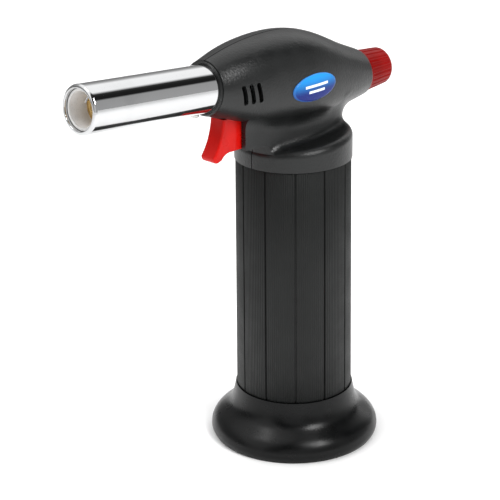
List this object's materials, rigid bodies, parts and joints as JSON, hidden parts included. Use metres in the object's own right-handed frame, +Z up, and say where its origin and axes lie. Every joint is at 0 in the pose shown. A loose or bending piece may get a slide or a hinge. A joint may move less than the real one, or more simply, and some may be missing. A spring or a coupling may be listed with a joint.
{
  "type": "butane torch",
  "caption": "Free-standing hand torch: round flared foot, ribbed handle with a fuel tank inside, egg-shaped head with a trigger, a gas knob at the rear and a straight metal barrel.",
  "frame": {"origin": "on the handle's axis, at the foot's flat underside (the mouth of the refill well)", "axes": "+Z up along the handle, -X towards the barrel's mouth, +X towards the gas knob, -Y the side with the badge; Y = 0 is the head's parting plane"},
  "size_m": [0.1791, 0.077, 0.1927],
  "materials": {
    "black_plastic": "fine textured, satin black",
    "foot_plastic": "satin black",
    "sleeve_plastic": "satin black, lengthwise ribbed",
    "red_plastic": "glossy red",
    "knob_plastic": "satin red",
    "chrome_tube": "polished",
    "ceramic": "fired ceramic, off-white",
    "brass": "machined",
    "steel": "machined",
    "zinc_screw": "zinc plated",
    "black_screw": "blackened",
    "aluminium": "turned",
    "tank_plastic": "moulded, milky",
    "rubber": "nitrile",
    "lead_skin": "silicone",
    "igniter_plastic": "moulded",
    "acetal": "moulded, white",
    "badge_film": "domed, light blue to deep blue, no lettering",
    "bronze_wick": "sintered"
  },
  "bodies": {
    "torch": {"foot": "foot_plastic", "foot_screws": "zinc_screw", "handle_sleeve": "sleeve_plastic", "fuel_tank": "tank_plastic", "tank_cap": "tank_plastic", "tank_seal": "rubber", "refill_valve_body": "brass", "refill_spring": "steel", "refill_seal": "rubber", "refill_gasket": "rubber", "head_shell_left": "black_plastic", "head_shell_right": "black_plastic", "head_screws": "black_screw", "badge": "badge_film", "barrel": "chrome_tube", "barrel_screw": "zinc_screw", "barrel_ring": "black_plastic", "flame_tube": "ceramic", "flame_tube_bush": "steel", "flame_holder": "brass", "mixing_tube": "steel", "mixer_bush": "aluminium", "gas_jet": "brass", "electrode_insulator": "ceramic", "electrode": "steel", "ignition_lead": "lead_skin", "valve_block": "brass", "gland_nut": "brass", "spindle_seal": "rubber", "feed_pipe": "aluminium", "gas_filter": "bronze_wick", "feed_nut": "brass", "delivery_pipe": "aluminium", "piezo_body": "igniter_plastic", "trigger_spring": "steel", "lever_pin": "steel"},
    "trigger": {"trigger": "red_plastic", "piezo_plunger": "acetal"},
    "knob": {"gas_knob": "knob_plastic", "valve_spindle": "brass", "knob_screw": "zinc_screw"},
    "lever": {"valve_lever": "acetal"},
    "valve_pin": {"valve_pin": "brass"},
    "refill_stem": {"refill_stem": "acetal"}
  },
  "joints": [
    {"name": "trigger_slide", "type": "slide", "parent": "torch", "child": "trigger", "axis": [1, 0, 0], "range_m": [0, 0.006], "stiffness_N_per_m": 1500, "springref_m": -0.004, "deforming": ["trigger_spring"]},
    {"name": "lever_rock", "type": "hinge", "parent": "torch", "child": "lever", "pos_m": [-0.002, 0, 0.166], "axis": [0, -1, 0], "range_deg": [0, 42]},
    {"name": "valve_pin_slide", "type": "slide", "parent": "torch", "child": "valve_pin", "axis": [1, 0, 0], "range_m": [0, 0.00384]},
    {"name": "knob_turn", "type": "hinge", "parent": "torch", "child": "knob", "pos_m": [0.05, 0, 0.1633], "axis": [1, 0, 0], "range_deg": [0, 270]},
    {"name": "refill_stem_slide", "type": "slide", "parent": "torch", "child": "refill_stem", "axis": [0, 0, 1], "range_m": [0, 0.0018], "stiffness_N_per_m": 600, "springref_m": -0.002, "deforming": ["refill_spring"]}
  ],
  "couplings": [
    {"joint": "lever_rock", "follows": "trigger_slide", "rad_per_m": 122.17},
    {"joint": "valve_pin_slide", "follows": "trigger_slide", "ratio": 0.64}
  ]
}
